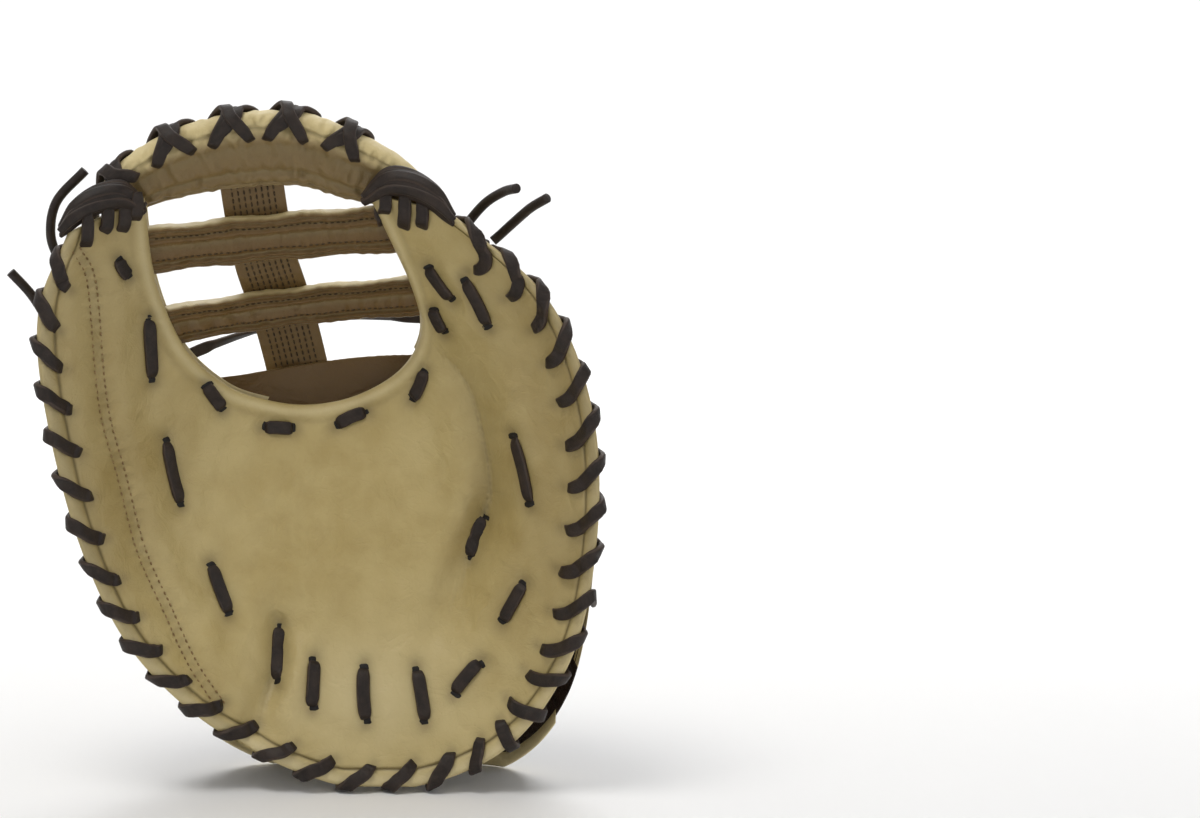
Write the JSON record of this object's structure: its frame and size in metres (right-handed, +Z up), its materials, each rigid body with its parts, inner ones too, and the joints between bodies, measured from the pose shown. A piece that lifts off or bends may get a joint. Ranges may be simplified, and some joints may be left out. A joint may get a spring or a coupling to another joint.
{
  "type": "first base mitt",
  "caption": "Left-hand first base mitt with a tan palm and web, brown back, rawhide lacing, finger hole and wrist strap.",
  "frame": {"origin": "middle of the bounding box, on the floor that the mitt stands on", "axes": "+Z up along the mitt from heel to web, palm faces -Y, thumb side at -X, finger side at +X"},
  "size_m": [0.2707, 0.1194, 0.3137],
  "materials": {
    "tan_leather": "satin",
    "brown_leather": "satin",
    "rawhide_lace": "satin"
  },
  "bodies": {
    "root": {"palm_pad": "tan_leather", "back_hand_shell": "brown_leather", "back_finger_stall": "brown_leather", "back_thumb_band": "tan_leather", "back_finger_band": "tan_leather", "heel_binding": "tan_leather", "web_bar_upper": "tan_leather", "web_bar_lower": "tan_leather", "web_top_rail": "tan_leather", "web_centre_strap": "tan_leather", "web_hood": "tan_leather", "edge_lace_thumb": "rawhide_lace", "edge_lace_heel": "rawhide_lace", "edge_lace_finger": "rawhide_lace", "heel_lace_1": "rawhide_lace", "heel_lace_2": "rawhide_lace", "heel_lace_3": "rawhide_lace", "palm_lace_1": "rawhide_lace", "palm_lace_2": "rawhide_lace", "palm_lace_3": "rawhide_lace", "palm_lace_4": "rawhide_lace", "palm_lace_5": "rawhide_lace", "palm_lace_6": "rawhide_lace", "palm_lace_7": "rawhide_lace", "palm_lace_8": "rawhide_lace", "palm_lace_9": "rawhide_lace", "palm_lace_10": "rawhide_lace", "palm_lace_11": "rawhide_lace", "palm_lace_12": "rawhide_lace", "palm_lace_13": "rawhide_lace", "palm_lace_14": "rawhide_lace", "palm_lace_15": "rawhide_lace", "palm_lace_16": "rawhide_lace", "back_lace_1": "rawhide_lace", "back_lace_2": "rawhide_lace", "back_lace_3": "rawhide_lace", "hood_lace_1": "rawhide_lace", "hood_lace_2": "rawhide_lace", "finger_hole_ring": "rawhide_lace", "wrist_binding": "tan_leather", "wrist_strap": "brown_leather", "rail_lace": "rawhide_lace", "pull_lace_upper": "rawhide_lace", "pull_lace_lower": "rawhide_lace", "finger_knot_upper": "rawhide_lace", "finger_tail_upper": "rawhide_lace", "finger_knot_lower": "rawhide_lace", "finger_tail_lower": "rawhide_lace", "thumb_knot_upper": "rawhide_lace", "thumb_tail_upper": "rawhide_lace", "thumb_knot_lower": "rawhide_lace", "thumb_tail_lower": "rawhide_lace"}
  },
  "joints": []
}
